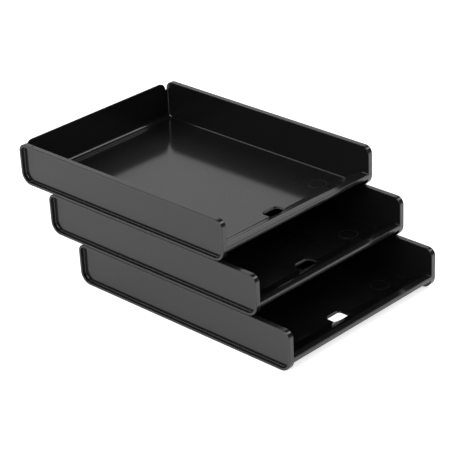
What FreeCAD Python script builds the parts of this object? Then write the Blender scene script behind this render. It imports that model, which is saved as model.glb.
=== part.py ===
# Stack of three open-fronted letter trays, each one plastic moulding.
#
# Millimetres, +Z up. The fronts face -Y. The origin is on the ground, under the middle of the stack.
# Every tray stands on the top edges of the one below and is set further back than it.
# One tray is drawn about its own middle, with the undersides of its side walls at z = 0.

import FreeCAD, Part
import math
import os

V = FreeCAD.Vector

# Whole tray
TRAY_LENGTH = 350.0
TRAY_WIDTH = 264.0
TRAY_HEIGHT = 54.0
TRAY_NAMES = ("tray_bottom", "tray_middle", "tray_top")
STAGGER = 48.8

# Side walls: a thin web, with a rim all round that stands out from it
RIM_DEPTH = 7.1
WEB_THICKNESS = 1.7
RIM_THICKNESS = 3.2
SIDE_DRAFT = 0.6
CORNER_FRONT_TOP = 10.0
CORNER_REAR_TOP = 10.5
CORNER_FRONT_BOTTOM = 16.0
CORNER_REAR_BOTTOM = 15.0
RIM_EDGE_RADIUS = 0.7
PANEL_EDGE_RADIUS = 0.3
PANEL_FOOT_RADIUS = 0.9

# Floor and the ramp that rises to the front lip
FLOOR_TOP = 2.8
FLOOR_THICKNESS = 2.2
FLAT_FROM_FRONT = 40.0
RAMP_ANGLE = 30.0
RAMP_FOOT_RADIUS = 8.0
RAMP_CREST_RADIUS = 10.0
LIP_TOP = 18.6
STRIP_BOTTOM = 12.7
STRIP_THICKNESS = 1.9
INSIDE_RADIUS = 1.4

# Rear wall, a little lower than the side walls, with a notch between it and each of them
REAR_DROP = 1.0
REAR_THICKNESS = 2.2
REAR_COVE = 7.0
NOTCH_WIDTH = 3.9
NOTCH_FOOT_RADIUS = 0.9
NOTCH_BELOW_CORNER = 0.3

# Finger hole in the middle of the front, and the collar under it
HOLE_WIDTH = 23.2
HOLE_LENGTH = 22.0
HOLE_FROM_FRONT = 29.2
HOLE_CORNER = 4.0
HOLE_EDGE_RADIUS = 2.4
COLLAR_THICKNESS = 3.0
COLLAR_BOTTOM = 0.2

# Locating dimples in the top edges
DIMPLE_DIAMETER = 2.4
DIMPLE_DEPTH = 1.0
DIMPLE_FROM_REAR = 22.4

# Worked out from the sizes above
FRONT = -TRAY_LENGTH / 2
REAR = TRAY_LENGTH / 2
SIDE = TRAY_WIDTH / 2
INNER = SIDE - RIM_DEPTH
WEB_FACE = INNER + WEB_THICKNESS
REAR_FACE = REAR - REAR_THICKNESS
MID_HEIGHT = TRAY_HEIGHT / 2
REAR_HEIGHT = TRAY_HEIGHT - REAR_DROP
NOTCH_HEIGHT = TRAY_HEIGHT - CORNER_REAR_TOP - NOTCH_BELOW_CORNER
REAR_CORNER = REAR_HEIGHT - NOTCH_HEIGHT
FLOOR_UNDER = FLOOR_TOP - FLOOR_THICKNESS


def arc_point(centre_y, centre_z, radius, degrees):
    """A point on a circle in the side view."""
    angle = math.radians(degrees)
    return V(0, centre_y + radius * math.cos(angle), centre_z + radius * math.sin(angle))


def arc(centre_y, centre_z, radius, start, end):
    """An arc in the side view, from one angle to another."""
    ends = [arc_point(centre_y, centre_z, radius, a) for a in (start, (start + end) / 2, end)]
    return Part.Arc(*ends).toShape()


def joined(pieces):
    """A closed wire through arcs and lines in turn, with straight lines between the arcs."""
    edges = []
    for piece, following in zip(pieces, pieces[1:] + pieces[:1]):
        edges.append(piece)
        start = piece.valueAt(piece.LastParameter)
        end = following.valueAt(following.FirstParameter)
        if start.distanceToPoint(end) > 1e-6:
            edges.append(Part.makeLine(start, end))
    return Part.Wire(edges)


def extruded(wire, start_x, end_x):
    """The prism of a side-view wire between two planes across the tray."""
    face = Part.Face(wire)
    face.translate(V(start_x, 0, 0))
    return face.extrude(V(end_x - start_x, 0, 0))


def box(low, high):
    """A box from its lowest to its highest corner."""
    size = V(*high) - V(*low)
    return Part.makeBox(size.x, size.y, size.z, V(*low))


def side_outline(inset):
    """The side wall's outline, drawn in by an inset from its edges."""
    front, rear = FRONT + inset, REAR - inset
    bottom, top = inset, TRAY_HEIGHT - inset
    rear_top, front_top = CORNER_REAR_TOP - inset, CORNER_FRONT_TOP - inset
    front_bottom, rear_bottom = CORNER_FRONT_BOTTOM - inset, CORNER_REAR_BOTTOM - inset
    return joined([
        arc(rear - rear_top, top - rear_top, rear_top, 0, 90),
        arc(front + front_top, top - front_top, front_top, 90, 180),
        arc(front + front_bottom, bottom + front_bottom, front_bottom, 180, 270),
        arc(rear - rear_bottom, bottom + rear_bottom, rear_bottom, 270, 360),
    ])


def edges_at(shape, x):
    """The edges that lie in one plane across the tray."""
    return [e for e in shape.Edges if abs(e.BoundBox.XMin - x) < 1e-4 and abs(e.BoundBox.XMax - x) < 1e-4]


def within(edge, inset):
    """Whether an edge lies inside the side wall's outline by an inset at least."""
    b = edge.BoundBox
    near = 1e-3
    return (b.YMin > FRONT + inset - near and b.YMax < REAR - inset + near
            and b.ZMin > inset - near and b.ZMax < TRAY_HEIGHT - inset + near)


def side_wall():
    """The right side wall: a slab with rounded corners, hollowed from outside down to its web."""
    slab = extruded(side_outline(0), INNER, SIDE)
    lean = Part.makePolygon([V(SIDE, 0, TRAY_HEIGHT), V(SIDE + 1, 0, TRAY_HEIGHT), V(SIDE + 1, 0, -1),
                             V(SIDE - SIDE_DRAFT, 0, -1), V(SIDE - SIDE_DRAFT, 0, 0), V(SIDE, 0, TRAY_HEIGHT)])
    shaving = Part.Face(lean).extrude(V(0, 2 * TRAY_LENGTH, 0))
    shaving.translate(V(0, -TRAY_LENGTH, 0))
    hollow = extruded(side_outline(RIM_THICKNESS), WEB_FACE, SIDE + 1)
    hollow = hollow.makeFillet(PANEL_FOOT_RADIUS, edges_at(hollow, WEB_FACE))
    wall = slab.cut(shaving).cut(hollow)
    outer = [e for e in wall.Edges if e.BoundBox.XMin > SIDE - SIDE_DRAFT - 0.1]
    panel = [e for e in outer if within(e, RIM_THICKNESS)]
    wall = wall.makeFillet(PANEL_EDGE_RADIUS, panel)
    outline = [e for e in wall.Edges if e.BoundBox.XMin > SIDE - SIDE_DRAFT - 0.1
               and not within(e, RIM_THICKNESS / 2)]
    return wall.makeFillet(RIM_EDGE_RADIUS, outline)


def dimple(side):
    """The locating dimple in one side wall's top edge, near the rear."""
    centre = V(side * (INNER + RIM_DEPTH / 2), REAR - DIMPLE_FROM_REAR, TRAY_HEIGHT - DIMPLE_DEPTH)
    return Part.makeCylinder(DIMPLE_DIAMETER / 2, 2 * DIMPLE_DEPTH, centre, V(0, 0, 1))


def ramp_arcs(drop):
    """The arcs at the ramp's foot and crest, on its top face or a face that lies below it by drop."""
    slope = math.radians(RAMP_ANGLE)
    foot_y = FRONT + FLAT_FROM_FRONT
    foot_z = FLOOR_TOP + RAMP_FOOT_RADIUS
    arcs_run = (RAMP_FOOT_RADIUS + RAMP_CREST_RADIUS) * math.sin(slope)
    arcs_rise = (RAMP_FOOT_RADIUS + RAMP_CREST_RADIUS) * (1 - math.cos(slope))
    run = arcs_run + (LIP_TOP - FLOOR_TOP - arcs_rise) / math.tan(slope)
    foot = arc(foot_y, foot_z, RAMP_FOOT_RADIUS + drop, 270, 270 - RAMP_ANGLE)
    crest = arc(foot_y - run, LIP_TOP - RAMP_CREST_RADIUS, RAMP_CREST_RADIUS - drop, 90 - RAMP_ANGLE, 90)
    return foot, crest


def upright(y, start, end):
    """An upright line in the side view."""
    return Part.makeLine(V(0, y, start), V(0, y, end))


def lower_block():
    """A block as wide as the inside, with the underside of the floor, the ramp and the lip."""
    foot, crest = ramp_arcs(FLOOR_THICKNESS)
    strip_back = FRONT + STRIP_THICKNESS
    corner = REAR_COVE + REAR_THICKNESS
    section = joined([
        foot,
        crest,
        upright(strip_back, LIP_TOP - FLOOR_THICKNESS, STRIP_BOTTOM),
        upright(FRONT, STRIP_BOTTOM, MID_HEIGHT),
        upright(REAR, MID_HEIGHT, FLOOR_UNDER + corner),
        arc(REAR - corner, FLOOR_UNDER + corner, corner, 360, 270),
    ])
    outline = extruded(side_outline(0), -INNER, INNER).fuse(box((-INNER, 0, 0), (INNER, REAR, TRAY_HEIGHT)))
    return extruded(section, -INNER, INNER).fuse(hole_collar()).common(outline)


def rear_block():
    """The upper part of the rear wall, thick enough for the cavity's rounded corners."""
    return box((-INNER, REAR_FACE - 2 * INSIDE_RADIUS, MID_HEIGHT), (INNER, REAR, REAR_HEIGHT))


def cavity():
    """The space inside the tray: above the floor, the ramp and the lip, and open at the top and front."""
    foot, crest = ramp_arcs(0)
    above, ahead = TRAY_HEIGHT + 10, FRONT - 10
    section = joined([
        upright(REAR_FACE, above, FLOOR_TOP + REAR_COVE),
        arc(REAR_FACE - REAR_COVE, FLOOR_TOP + REAR_COVE, REAR_COVE, 360, 270),
        foot,
        crest,
        upright(ahead, LIP_TOP, above),
    ])
    space = extruded(section, -INNER, INNER)
    feet = [e for e in space.Edges if e.BoundBox.XLength < 1e-6
            and e.BoundBox.ZMin < above - 1 and e.BoundBox.YMax > ahead + 1]
    return space.makeFillet(INSIDE_RADIUS, feet)


def notch(side):
    """The opening beside and above one end of the rear wall, which rounds the wall's top corner."""
    end = side * (INNER - NOTCH_WIDTH)
    corner_x, corner_z = end - side * REAR_CORNER, NOTCH_HEIGHT
    slope = math.sqrt(0.5)
    foot_z = corner_z - NOTCH_FOOT_RADIUS
    rise = NOTCH_FOOT_RADIUS * (1 - slope)
    wall_x = side * INNER
    step = side * NOTCH_FOOT_RADIUS
    above = TRAY_HEIGHT + 1
    edges = [
        Part.makeLine(V(corner_x, 0, above), V(corner_x, 0, REAR_HEIGHT)),
        Part.Arc(V(corner_x, 0, REAR_HEIGHT),
                 V(corner_x + side * REAR_CORNER * slope, 0, corner_z + REAR_CORNER * slope),
                 V(end, 0, corner_z)).toShape(),
        Part.Arc(V(end, 0, corner_z), V(end + side * rise, 0, foot_z + rise),
                 V(end + step, 0, foot_z)).toShape(),
        Part.makeLine(V(end + step, 0, foot_z), V(wall_x - step, 0, foot_z)),
        Part.Arc(V(wall_x - step, 0, foot_z), V(wall_x - side * rise, 0, foot_z + rise),
                 V(wall_x, 0, corner_z)).toShape(),
        Part.makeLine(V(wall_x, 0, corner_z), V(wall_x, 0, above)),
        Part.makeLine(V(wall_x, 0, above), V(corner_x, 0, above)),
    ]
    opening = Part.Face(Part.Wire(edges)).extrude(V(0, REAR_THICKNESS + 2 * INSIDE_RADIUS, 0))
    opening.translate(V(0, REAR_FACE - 1.5 * INSIDE_RADIUS, 0))
    return opening


def hole_prism(grow):
    """An upright prism of the finger hole's outline, grown all round."""
    width, length = HOLE_WIDTH + 2 * grow, HOLE_LENGTH + 2 * grow
    front = FRONT + HOLE_FROM_FRONT - grow
    prism = box((-width / 2, front, -1), (width / 2, front + length, MID_HEIGHT))
    corners = [e for e in prism.Edges if e.BoundBox.ZLength > MID_HEIGHT]
    return prism.makeFillet(HOLE_CORNER + grow, corners)


def hole_collar():
    """The collar round the finger hole, from just above the ground up to the floor and the ramp."""
    ring = hole_prism(COLLAR_THICKNESS)
    low = box((-SIDE, FRONT, -2), (SIDE, REAR, COLLAR_BOTTOM))
    return ring.cut(low)


def opening_edges(shape):
    """The edges round the open top and front: the side walls' inner edges, which lead on to the rest."""
    found = []
    for edge in shape.Edges:
        b = edge.BoundBox
        on_wall = abs(abs(b.XMin) - INNER) < 1e-3 and b.XLength < 1e-3
        on_top = b.ZMax > TRAY_HEIGHT - 1e-3
        at_front = b.YMax < FRONT + 1e-3 and b.ZMin > LIP_TOP
        if on_wall and (on_top or at_front):
            found.append(edge)
    return found


def hole_edges(shape):
    """The upper edges of the finger hole."""
    found = []
    for edge in shape.Edges:
        b = edge.BoundBox
        near = abs(b.XMin) < HOLE_WIDTH / 2 + 1e-3 and abs(b.XMax) < HOLE_WIDTH / 2 + 1e-3
        inside = b.YMin > FRONT + HOLE_FROM_FRONT - 1e-3 and b.ZMin > FLOOR_TOP - 1e-3
        if near and inside and b.ZMax < LIP_TOP:
            found.append(edge)
    return found


def tray():
    """One tray, as a single solid."""
    right = side_wall()
    left = right.mirror(V(0, 0, 0), V(1, 0, 0))
    body = lower_block().fuse([rear_block(), right, left]).removeSplitter().cut(cavity())
    body = body.cut([notch(1), notch(-1), hole_prism(0)]).removeSplitter()
    body = body.makeFillet(RIM_EDGE_RADIUS, opening_edges(body))
    body = body.makeFillet(HOLE_EDGE_RADIUS, hole_edges(body))
    return body.cut([dimple(1), dimple(-1)])


def main():
    """Writes one file for each tray, in its place in the stack."""
    os.makedirs("parts", exist_ok=True)
    shape = tray()
    middle = (len(TRAY_NAMES) - 1) / 2
    for level, name in enumerate(TRAY_NAMES):
        placed = shape.copy()
        placed.translate(V(0, (level - middle) * STAGGER, level * TRAY_HEIGHT))
        placed.exportStep("parts/" + name + ".step")
        print(name, "solids", len(placed.Solids), "valid", placed.isValid(), "volume", round(placed.Volume))


main()
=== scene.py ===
"""The looks of a stack of three letter trays in satin black plastic.

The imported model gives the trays. This script gives them their moulded finish, adds the round marks that
the mould leaves on each floor, and sets up the studio and the camera.
"""

import logging
import math
from collections.abc import Iterable
from dataclasses import dataclass, field
from enum import Enum

import bpy
from mathutils import Matrix, Vector

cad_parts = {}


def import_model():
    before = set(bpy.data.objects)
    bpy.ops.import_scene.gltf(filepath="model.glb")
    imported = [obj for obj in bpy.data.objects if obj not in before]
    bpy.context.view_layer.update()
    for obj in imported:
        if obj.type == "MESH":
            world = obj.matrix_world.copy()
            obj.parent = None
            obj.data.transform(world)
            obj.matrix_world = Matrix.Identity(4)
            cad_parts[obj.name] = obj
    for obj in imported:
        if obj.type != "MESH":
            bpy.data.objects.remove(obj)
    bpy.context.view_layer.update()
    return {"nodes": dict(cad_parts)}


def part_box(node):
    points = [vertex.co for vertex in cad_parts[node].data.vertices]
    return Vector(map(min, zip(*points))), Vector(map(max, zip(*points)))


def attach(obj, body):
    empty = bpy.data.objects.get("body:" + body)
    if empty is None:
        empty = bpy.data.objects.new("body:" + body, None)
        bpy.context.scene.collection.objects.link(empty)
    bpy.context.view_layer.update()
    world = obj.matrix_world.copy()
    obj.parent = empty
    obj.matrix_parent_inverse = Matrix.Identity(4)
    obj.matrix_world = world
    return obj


LOG = logging.getLogger("letter_trays")
MM = 0.001
BODY = "root"
WHITE = (1.0, 1.0, 1.0, 1.0)
NOISE_MIDDLE = 0.5

# Where a Mix node keeps its colour sockets, whose names it also gives to other sockets
MIX_FIRST = 6
MIX_SECOND = 7
MIX_RESULT = 2


class Side(Enum):
    """The two sides of a tray, by the sign of x."""

    LEFT = -1
    RIGHT = 1


class NodeTree:
    """A short way to add and join the nodes of one tree."""

    def __init__(self, tree: bpy.types.NodeTree) -> None:
        """Wraps a tree.

        Args:
            tree: The node tree to fill.
        """
        self.tree = tree

    def join(self, value: object, socket: bpy.types.NodeSocket) -> None:
        """Links an output socket to an input, or sets the input's plain value.

        Args:
            value: An output socket or a plain value.
            socket: The input to feed.
        """
        if isinstance(value, bpy.types.NodeSocket):
            self.tree.links.new(value, socket)
        else:
            socket.default_value = value

    def feed(self, node: bpy.types.Node, inputs: dict[str, object]) -> bpy.types.Node:
        """Sets or links a node's inputs.

        Args:
            node: The node.
            inputs: Values or output sockets by input name, with underscores for spaces.

        Returns:
            The same node.
        """
        for name, value in inputs.items():
            self.join(value, node.inputs[name.replace("_", " ")])
        return node

    def add(self, kind: str, **inputs: object) -> bpy.types.Node:
        """Adds a node and sets or links its inputs.

        Args:
            kind: The node's Blender type name.
            **inputs: Values or output sockets by input name, with underscores for spaces.

        Returns:
            The new node.
        """
        return self.feed(self.tree.nodes.new(kind), inputs)

    def group(self, tree: bpy.types.NodeTree, **inputs: object) -> bpy.types.Node:
        """Places a shader node group and sets or links its inputs.

        Args:
            tree: The group.
            **inputs: Values or output sockets by input name, with underscores for spaces.

        Returns:
            The group's node.
        """
        node = self.tree.nodes.new("ShaderNodeGroup")
        node.node_tree = tree
        return self.feed(node, inputs)

    def mix(self, share: object, first: object, second: object) -> bpy.types.NodeSocket:
        """Mixes two colours.

        Args:
            share: How much of the second colour shows.
            first: The first colour.
            second: The second colour.

        Returns:
            The mixed colour.
        """
        node = self.tree.nodes.new("ShaderNodeMix")
        node.data_type = "RGBA"
        self.join(share, node.inputs["Factor"])
        self.join(first, node.inputs[MIX_FIRST])
        self.join(second, node.inputs[MIX_SECOND])
        return node.outputs[MIX_RESULT]

    def math(self, operation: str, *values: object) -> bpy.types.NodeSocket:
        """Adds a Math node.

        Args:
            operation: The node's operation.
            *values: Its inputs in order.

        Returns:
            The node's output.
        """
        node = self.tree.nodes.new("ShaderNodeMath")
        node.operation = operation
        for value, socket in zip(values, node.inputs):
            self.join(value, socket)
        return node.outputs[0]

    def vector_math(self, operation: str, first: object, second: object) -> bpy.types.Node:
        """Adds a Vector Math node.

        Args:
            operation: The node's operation.
            first: The first vector.
            second: The second vector.

        Returns:
            The node, with its result in Vector or in Value, as the operation has it.
        """
        node = self.tree.nodes.new("ShaderNodeVectorMath")
        node.operation = operation
        self.join(first, node.inputs[0])
        self.join(second, node.inputs[1])
        return node

    def noise(self, place: object, scale: object, detail: float, roughness: float) -> bpy.types.NodeSocket:
        """Adds a noise pattern.

        Args:
            place: The point on the surface.
            scale: The size of the pattern, as patches per metre.
            detail: How many finer patterns lie over the first.
            roughness: How strong those are.

        Returns:
            The pattern, from 0 to 1.
        """
        node = self.add("ShaderNodeTexNoise", Vector=place, Scale=scale, Detail=detail, Roughness=roughness)
        return node.outputs["Fac"]

    def sight(self) -> tuple[bpy.types.NodeSocket, bpy.types.NodeSocket]:
        """Tells what the camera sees by itself from what it sees mirrored or through a clear surface.

        Returns:
            The two masks, in that order.
        """
        path = self.add("ShaderNodeLightPath")
        mirrored = self.math("MAXIMUM", path.outputs["Is Glossy Ray"], path.outputs["Is Transmission Ray"])
        return path.outputs["Is Camera Ray"], mirrored


def shader_group(name: str, inputs: dict[str, float], outputs: tuple[str, ...]) -> bpy.types.NodeTree:
    """Makes an empty shader node group of plain numbers.

    Args:
        name: The group's name.
        inputs: The inputs' first values by name.
        outputs: The names of the outputs.

    Returns:
        The group.
    """
    group = bpy.data.node_groups.new(name, "ShaderNodeTree")
    for label, value in inputs.items():
        socket = group.interface.new_socket(label, in_out="INPUT", socket_type="NodeSocketFloat")
        socket.default_value = value
    for label in outputs:
        group.interface.new_socket(label, in_out="OUTPUT", socket_type="NodeSocketFloat")
    return group


@dataclass(frozen=True)
class MouldedGrain:
    """The fine grain and slight unevenness of a moulded surface, as a node group for any plastic here."""

    name: str = "moulded_grain"
    detail: float = 2.0
    grain_harshness: float = 0.6
    patch_harshness: float = 0.5
    patch_scale: float = 11.0
    streak_scale: float = 60.0
    patch_share: float = 0.7

    def build(self) -> bpy.types.NodeTree:
        """Builds the group.

        Returns:
            The shader node group, with a height, a roughness and a shade that change over the surface.
        """
        group = shader_group(self.name, {"Grain Size": 0.6 * MM, "Roughness": 0.3, "Roughness Spread": 0.1},
                             ("Height", "Roughness", "Shade"))
        tree = NodeTree(group)
        source = tree.add("NodeGroupInput")
        place = tree.add("ShaderNodeTexCoord").outputs["Object"]
        grain_scale = tree.math("DIVIDE", 1.0, source.outputs["Grain Size"])
        grain = tree.noise(place, grain_scale, self.detail, self.grain_harshness)
        patches = tree.noise(place, self.patch_scale, self.detail, self.patch_harshness)
        streaks = tree.noise(place, self.streak_scale, self.detail, self.patch_harshness)
        uneven = tree.math("ADD", tree.math("MULTIPLY", patches, self.patch_share),
                           tree.math("MULTIPLY", streaks, 1.0 - self.patch_share))
        swing = tree.math("MULTIPLY", tree.math("SUBTRACT", uneven, NOISE_MIDDLE),
                          source.outputs["Roughness Spread"])
        sink = tree.add("NodeGroupOutput")
        tree.join(grain, sink.inputs["Height"])
        tree.join(tree.math("ADD", source.outputs["Roughness"], swing), sink.inputs["Roughness"])
        tree.join(uneven, sink.inputs["Shade"])
        return group


@dataclass(frozen=True)
class UseMarks:
    """Dust and the rubbed bands where one tray stands on the next, as a node group of masks."""

    name: str = "use_marks"
    harshness: float = 0.6
    cloud_scale: float = 25.0
    cloud_detail: float = 4.0
    level_from: float = 0.7
    level_full: float = 0.98
    speck_edge: float = 60.0
    streak_scales: tuple[float, float, float] = (260.0, 35.0, 260.0)
    streak_detail: float = 3.0

    def build(self) -> bpy.types.NodeTree:
        """Builds the group.

        Returns:
            The shader node group, with masks of dust specks, of the dust film on what faces up, and of
            rubbed plastic.
        """
        group = shader_group(self.name, {"Speck Spacing": 12.0 * MM, "Speck Size": 0.02,
                                         "Level Height": 50.0 * MM, "Band Height": 1.0 * MM},
                             ("Specks", "Film", "Rubbed"))
        tree = NodeTree(group)
        source = tree.add("NodeGroupInput")
        place = tree.add("ShaderNodeTexCoord").outputs["Object"]
        sink = tree.add("NodeGroupOutput")
        tree.join(self.specks(tree, source, place), sink.inputs["Specks"])
        tree.join(self.film(tree, place), sink.inputs["Film"])
        tree.join(self.rubbed(tree, source, place), sink.inputs["Rubbed"])
        return group

    def film(self, tree: NodeTree, place: bpy.types.NodeSocket) -> bpy.types.NodeSocket:
        """Adds the mask of the thin dust film.

        Args:
            tree: The group's tree.
            place: The point on the surface.

        Returns:
            The mask, uneven over level surfaces and 0 on walls.
        """
        normal = tree.add("ShaderNodeTexCoord").outputs["Normal"]
        upward = tree.add("ShaderNodeSeparateXYZ", Vector=normal).outputs["Z"]
        level = tree.add("ShaderNodeMapRange", Value=upward, From_Min=self.level_from,
                         From_Max=self.level_full)
        clouds = tree.noise(place, self.cloud_scale, self.cloud_detail, self.harshness)
        return tree.math("MULTIPLY", level.outputs["Result"], clouds)

    def specks(self, tree: NodeTree, source: bpy.types.Node,
               place: bpy.types.NodeSocket) -> bpy.types.NodeSocket:
        """Adds the mask of the dust specks.

        Args:
            tree: The group's tree.
            source: The group's input node.
            place: The point on the surface.

        Returns:
            The mask, 1 in the middle of a speck.
        """
        cells = tree.add("ShaderNodeTexVoronoi", Vector=place, Randomness=1.0,
                         Scale=tree.math("DIVIDE", 1.0, source.outputs["Speck Spacing"]))
        near = tree.math("SUBTRACT", source.outputs["Speck Size"], cells.outputs["Distance"])
        sharp = tree.math("MULTIPLY", near, self.speck_edge)
        return tree.math("MINIMUM", 1.0, tree.math("MAXIMUM", 0.0, sharp))

    def rubbed(self, tree: NodeTree, source: bpy.types.Node,
               place: bpy.types.NodeSocket) -> bpy.types.NodeSocket:
        """Adds the mask of the rubbed bands.

        Args:
            tree: The group's tree.
            source: The group's input node.
            place: The point on the surface.

        Returns:
            The mask, broken into short streaks that run front to back.
        """
        height = tree.add("ShaderNodeSeparateXYZ", Vector=place).outputs["Z"]
        half_level = tree.math("MULTIPLY", source.outputs["Level Height"], 0.5)
        away = tree.math("PINGPONG", height, half_level)
        share = tree.math("DIVIDE", away, source.outputs["Band Height"])
        band = tree.math("MAXIMUM", 0.0, tree.math("SUBTRACT", 1.0, share))
        drawn_out = tree.vector_math("MULTIPLY", place, self.streak_scales).outputs["Vector"]
        return tree.math("MULTIPLY", band, tree.noise(drawn_out, 1.0, self.streak_detail, self.harshness))


@dataclass(frozen=True)
class SatinPlastic:
    """Black moulded plastic with a satin body and a smoother skin."""

    name: str = "satin_black_plastic"
    dark: tuple[float, float, float, float] = (0.002, 0.002, 0.0021, 1.0)
    pale: tuple[float, float, float, float] = (0.0034, 0.0034, 0.0035, 1.0)
    dusty: tuple[float, float, float, float] = (0.05, 0.05, 0.048, 1.0)
    speck_cover: float = 0.35
    film_cover: float = 0.14
    roughness: float = 0.52
    roughness_spread: float = 0.12
    skin_roughness: float = 0.12
    rubbed_roughness: float = 0.10
    dust_roughness: float = 0.1
    specular: float = 0.14
    ior: float = 1.59
    grain_size: float = 0.7 * MM
    grain_depth: float = 0.004 * MM
    speck_spacing: float = 13.0 * MM
    speck_size: float = 0.035
    level_height: float = 54.0 * MM
    band_height: float = 0.8 * MM

    def build(self, grain: bpy.types.NodeTree, marks: bpy.types.NodeTree) -> bpy.types.Material:
        """Builds the material.

        Args:
            grain: The moulded grain group.
            marks: The group of dust and rubbed bands.

        Returns:
            The material.
        """
        material = bpy.data.materials.new(self.name)
        material.use_nodes = True
        material.node_tree.nodes.clear()
        tree = NodeTree(material.node_tree)
        surface = tree.group(grain, Grain_Size=self.grain_size, Roughness=self.roughness,
                             Roughness_Spread=self.roughness_spread)
        used = tree.group(marks, Speck_Spacing=self.speck_spacing, Speck_Size=self.speck_size,
                          Level_Height=self.level_height, Band_Height=self.band_height)
        plain = tree.mix(surface.outputs["Shade"], self.dark, self.pale)
        cover = tree.math("ADD", tree.math("MULTIPLY", used.outputs["Specks"], self.speck_cover),
                          tree.math("MULTIPLY", used.outputs["Film"], self.film_cover))
        colour = tree.mix(cover, plain, self.dusty)
        rubbed = tree.math("MULTIPLY", used.outputs["Rubbed"], self.rubbed_roughness)
        dulled = tree.math("ADD", rubbed, tree.math("MULTIPLY", cover, self.dust_roughness))
        roughness = tree.math("ADD", surface.outputs["Roughness"], dulled)
        bump = tree.add("ShaderNodeBump", Strength=1.0, Distance=self.grain_depth,
                        Height=surface.outputs["Height"])
        shader = tree.add("ShaderNodeBsdfPrincipled", Base_Color=colour, Roughness=roughness, IOR=self.ior,
                          Specular_IOR_Level=self.specular, Coat_Weight=1.0, Coat_IOR=self.ior,
                          Coat_Roughness=self.skin_roughness, Normal=bump.outputs["Normal"])
        sink = tree.add("ShaderNodeOutputMaterial")
        tree.join(shader.outputs["BSDF"], sink.inputs["Surface"])
        return material


TRAY_FINISH = SatinPlastic()
# The marks of the mould are paler than the plastic round them, and catch more light
MARK_FINISH = SatinPlastic(name="pale_ring_plastic", dark=(0.018, 0.018, 0.018, 1.0),
                           pale=(0.03, 0.03, 0.03, 1.0), roughness=0.3)


@dataclass
class MouldRings:
    """The faint round marks that the mould leaves near the front of each floor."""

    diameter: float = 23.0 * MM
    ridge_width: float = 0.8 * MM
    ridge_height: float = 0.10 * MM
    from_middle: float = 90.5 * MM
    from_front: float = 53.7 * MM
    floor_top: float = 2.8 * MM
    turns: int = 72
    profile_sides: int = 8

    def places(self, trays: list[str]) -> list[tuple[float, float, float]]:
        """Works out the rings' centres.

        Args:
            trays: The names of the tray nodes.

        Returns:
            Two centres for each tray, on its floor.
        """
        found = []
        for name in trays:
            low, high = (Vector(corner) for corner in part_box(name))
            middle = (low.x + high.x) / 2
            for side in Side:
                found.append((middle + side.value * self.from_middle, low.y + self.from_front,
                              low.z + self.floor_top))
        return found

    def sizes(self) -> dict[str, float]:
        """Gives the sizes that the geometry nodes take, by input name."""
        return {"Diameter": self.diameter, "Ridge Width": self.ridge_width, "Ridge Height": self.ridge_height}

    def tree(self) -> bpy.types.NodeTree:
        """Builds the geometry nodes, which put one ring on each point.

        Returns:
            The geometry node group.
        """
        group = bpy.data.node_groups.new("mould_rings", "GeometryNodeTree")
        face = group.interface
        face.new_socket("Geometry", in_out="INPUT", socket_type="NodeSocketGeometry")
        for name in self.sizes():
            face.new_socket(name, in_out="INPUT", socket_type="NodeSocketFloat")
        face.new_socket("Material", in_out="INPUT", socket_type="NodeSocketMaterial")
        face.new_socket("Geometry", in_out="OUTPUT", socket_type="NodeSocketGeometry")
        tree = NodeTree(group)
        source = tree.add("NodeGroupInput")
        radius = tree.math("MULTIPLY", source.outputs["Diameter"], 0.5)
        half_width = tree.math("MULTIPLY", source.outputs["Ridge Width"], 0.5)
        path = tree.add("GeometryNodeCurvePrimitiveCircle", Resolution=self.turns, Radius=radius)
        profile = tree.add("GeometryNodeCurvePrimitiveCircle", Resolution=self.profile_sides,
                           Radius=half_width)
        ring = tree.add("GeometryNodeCurveToMesh", Curve=path.outputs["Curve"],
                        Profile_Curve=profile.outputs["Curve"])
        flat = tree.add("ShaderNodeCombineXYZ", X=1.0, Y=1.0,
                        Z=tree.math("DIVIDE", source.outputs["Ridge Height"], half_width))
        ridge = tree.add("GeometryNodeTransform", Geometry=ring.outputs["Mesh"], Scale=flat.outputs["Vector"])
        placed = tree.add("GeometryNodeInstanceOnPoints", Points=source.outputs["Geometry"],
                          Instance=ridge.outputs["Geometry"])
        real = tree.add("GeometryNodeRealizeInstances", Geometry=placed.outputs["Instances"])
        smooth = tree.add("GeometryNodeSetShadeSmooth", Geometry=real.outputs["Geometry"])
        dressed = tree.add("GeometryNodeSetMaterial", Geometry=smooth.outputs["Geometry"],
                           Material=source.outputs["Material"])
        sink = tree.add("NodeGroupOutput")
        tree.join(dressed.outputs["Geometry"], sink.inputs["Geometry"])
        return group

    def build(self, trays: list[str], plastic: bpy.types.Material) -> bpy.types.Object:
        """Makes the rings as one plain mesh that rides with the stack.

        Args:
            trays: The names of the tray nodes.
            plastic: The rings' finish.

        Returns:
            The piece.
        """
        seeds = bpy.data.meshes.new("mould_rings")
        seeds.from_pydata(self.places(trays), [], [])
        piece = bpy.data.objects.new("mould_rings", seeds)
        bpy.context.scene.collection.objects.link(piece)
        modifier = piece.modifiers.new("mould_rings", "NODES")
        modifier.node_group = self.tree()
        values = {**self.sizes(), "Material": plastic}
        for item in modifier.node_group.interface.items_tree:
            if item.in_out == "INPUT" and item.name in values:
                modifier[item.identifier] = values[item.name]
        seen = piece.evaluated_get(bpy.context.evaluated_depsgraph_get())
        mesh = bpy.data.meshes.new_from_object(seen)
        piece.modifiers.remove(modifier)
        piece.data = mesh
        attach(piece, BODY)
        return piece


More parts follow.
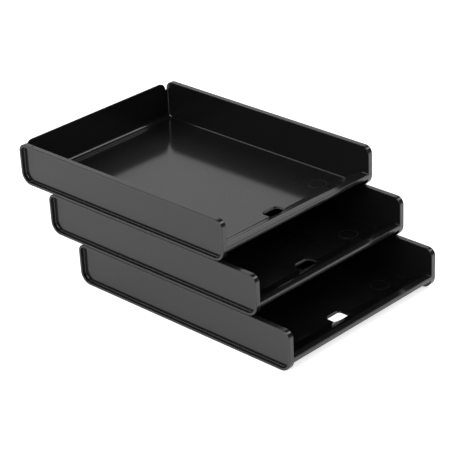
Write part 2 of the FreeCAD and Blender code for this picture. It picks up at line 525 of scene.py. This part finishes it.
@dataclass
class PhotoCamera:
    """The camera, at the photograph's viewing angle.

    Angles are in degrees. The focal length, the centre of view and the frame are in the photograph's
    pixels, and the sensor's width is in the camera's own millimetres.
    """

    azimuth: float = -45.29
    elevation: float = 26.26
    roll: float = -2.66
    distance: float = 2260.4 * MM
    target: Vector = field(default_factory=lambda: Vector((1.95, -13.6, 82.7)) * MM)
    focal: float = 1846.3
    centre: tuple[float, float] = (233.97, 216.0)
    frame: float = 452.0
    sensor: float = 36.0

    def build(self) -> bpy.types.Object:
        """Makes the camera and gives it to the scene.

        Returns:
            The camera object.
        """
        turn, tilt, roll = (math.radians(v) for v in (self.azimuth, self.elevation, self.roll))
        back = Vector((math.sin(turn) * math.cos(tilt), -math.cos(turn) * math.cos(tilt), math.sin(tilt)))
        level = Vector((math.cos(turn), math.sin(turn), 0.0))
        upper = level.cross(back) * -1.0
        right = level * math.cos(roll) + upper * math.sin(roll)
        up = upper * math.cos(roll) - level * math.sin(roll)
        data = bpy.data.cameras.new("photo_camera")
        data.sensor_width = self.sensor
        data.lens = self.focal / self.frame * self.sensor
        data.shift_x = (self.frame / 2 - self.centre[0]) / self.frame
        data.shift_y = (self.centre[1] - self.frame / 2) / self.frame
        camera = bpy.data.objects.new("photo_camera", data)
        camera.matrix_world = Matrix((right, up, back)).transposed().to_4x4()
        camera.location = self.target + back * self.distance
        bpy.context.scene.collection.objects.link(camera)
        bpy.context.scene.camera = camera
        return camera


@dataclass
class AreaLamp:
    """One soft rectangular lamp that looks at a point, in metres and watts."""

    name: str
    place: tuple[float, float, float]
    aim: tuple[float, float, float]
    size: tuple[float, float]
    power: float

    def build(self) -> bpy.types.Object:
        """Makes the lamp.

        Returns:
            The lamp object.
        """
        data = bpy.data.lights.new(self.name, "AREA")
        data.shape = "RECTANGLE"
        data.size, data.size_y = self.size
        data.energy = self.power
        lamp = bpy.data.objects.new(self.name, data)
        lamp.location = self.place
        lamp.rotation_euler = (Vector(self.aim) - Vector(self.place)).to_track_quat("-Z", "Y").to_euler()
        lamp.visible_camera = False
        bpy.context.scene.collection.objects.link(lamp)
        return lamp


@dataclass
class Studio:
    """A white floor that keeps a faint shadow, a white surround and four soft lamps.

    The camera sees both as white. In the plastic, the floor shows as a pool of light that fades outwards.
    """

    floor_half: float = 6.0
    floor_colour: tuple[float, float, float, float] = (0.8, 0.8, 0.8, 1.0)
    floor_roughness: float = 0.9
    camera_glow: float = 0.7
    pool_glow: float = 0.4
    pool_centre: tuple[float, float, float] = (0.5, -0.5, 0.0)
    pool_radius: float = 0.35
    pool_fade: float = 0.7
    surround_light: float = 0.7
    surround_seen: float = 1.0
    surround_mirrored: float = 0.07
    lamps: tuple[AreaLamp, ...] = (
        AreaLamp("behind", place=(2.1, 2.1, 1.5), aim=(0.0, 0.0, 0.1), size=(3.4, 2.6), power=18.0),
        AreaLamp("high_behind", place=(-0.9, 1.42, 1.72), aim=(0.0, 0.0, 0.1), size=(1.5, 0.75), power=7.0),
        AreaLamp("left", place=(-2.1, -0.35, 1.0), aim=(0.0, 0.0, 0.08), size=(1.2, 1.2), power=30.0),
        AreaLamp("front_right", place=(1.3, -1.1, 1.6), aim=(0.0, 0.0, 0.08), size=(1.5, 0.6), power=7.5),
    )

    def floor_material(self) -> bpy.types.Material:
        """Makes the floor's material.

        Returns:
            The material, white to the camera, with the pool of light in what is mirrored.
        """
        material = bpy.data.materials.new("white_floor")
        material.use_nodes = True
        material.node_tree.nodes.clear()
        tree = NodeTree(material.node_tree)
        seen, mirrored = tree.sight()
        place = tree.add("ShaderNodeTexCoord").outputs["Object"]
        away = tree.vector_math("DISTANCE", place, self.pool_centre).outputs["Value"]
        pool = tree.add("ShaderNodeMapRange", Value=away, From_Min=self.pool_radius,
                        From_Max=self.pool_radius + self.pool_fade, To_Min=self.pool_glow, To_Max=0.0)
        glow = tree.math("ADD", tree.math("MULTIPLY", seen, self.camera_glow),
                         tree.math("MULTIPLY", mirrored, pool.outputs["Result"]))
        shader = tree.add("ShaderNodeBsdfPrincipled", Base_Color=self.floor_colour,
                          Roughness=self.floor_roughness, Specular_IOR_Level=0.0,
                          Emission_Color=WHITE, Emission_Strength=glow)
        sink = tree.add("ShaderNodeOutputMaterial")
        tree.join(shader.outputs["BSDF"], sink.inputs["Surface"])
        return material

    def build_floor(self) -> bpy.types.Object:
        """Makes the floor.

        Returns:
            The floor object.
        """
        half = self.floor_half
        outline = [(-half, -half, 0), (half, -half, 0), (half, half, 0), (-half, half, 0)]
        mesh = bpy.data.meshes.new("floor")
        mesh.from_pydata(outline, [], [(0, 1, 2, 3)])
        mesh.materials.append(self.floor_material())
        floor = bpy.data.objects.new("floor", mesh)
        bpy.context.scene.collection.objects.link(floor)
        return floor

    def build_world(self) -> None:
        """Makes the surround: white to the camera, dim where it is mirrored, and a soft light elsewhere."""
        world = bpy.data.worlds.new("white_surround")
        world.use_nodes = True
        world.node_tree.nodes.clear()
        tree = NodeTree(world.node_tree)
        light = self.surround_light
        for mask, strength in zip(tree.sight(), (self.surround_seen, self.surround_mirrored)):
            light = tree.math("ADD", light, tree.math("MULTIPLY", mask, strength - self.surround_light))
        back = tree.add("ShaderNodeBackground", Color=WHITE, Strength=light)
        sink = tree.add("ShaderNodeOutputWorld")
        tree.join(back.outputs["Background"], sink.inputs["Surface"])
        bpy.context.scene.world = world

    def build(self) -> None:
        """Makes the floor, the surround and the lamps."""
        self.build_floor()
        self.build_world()
        for lamp in self.lamps:
            lamp.build()


def main() -> None:
    """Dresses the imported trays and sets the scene."""
    logging.basicConfig(level=logging.INFO, format="%(name)s: %(message)s")
    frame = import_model()
    PhotoCamera().build()
    grain = MouldedGrain().build()
    marks = UseMarks().build()
    plastic = TRAY_FINISH.build(grain, marks)
    trays = sorted(frame["nodes"])
    for name in trays:
        frame["nodes"][name].material_slots[0].material = plastic
        LOG.info("%s has its finish", name)
    rings = MouldRings().build(trays, MARK_FINISH.build(grain, marks))
    LOG.info("%s has %d faces", rings.name, len(rings.data.polygons))
    Studio().build()
    bpy.context.scene.view_settings.view_transform = "Standard"


if __name__ == "__main__":
    main()
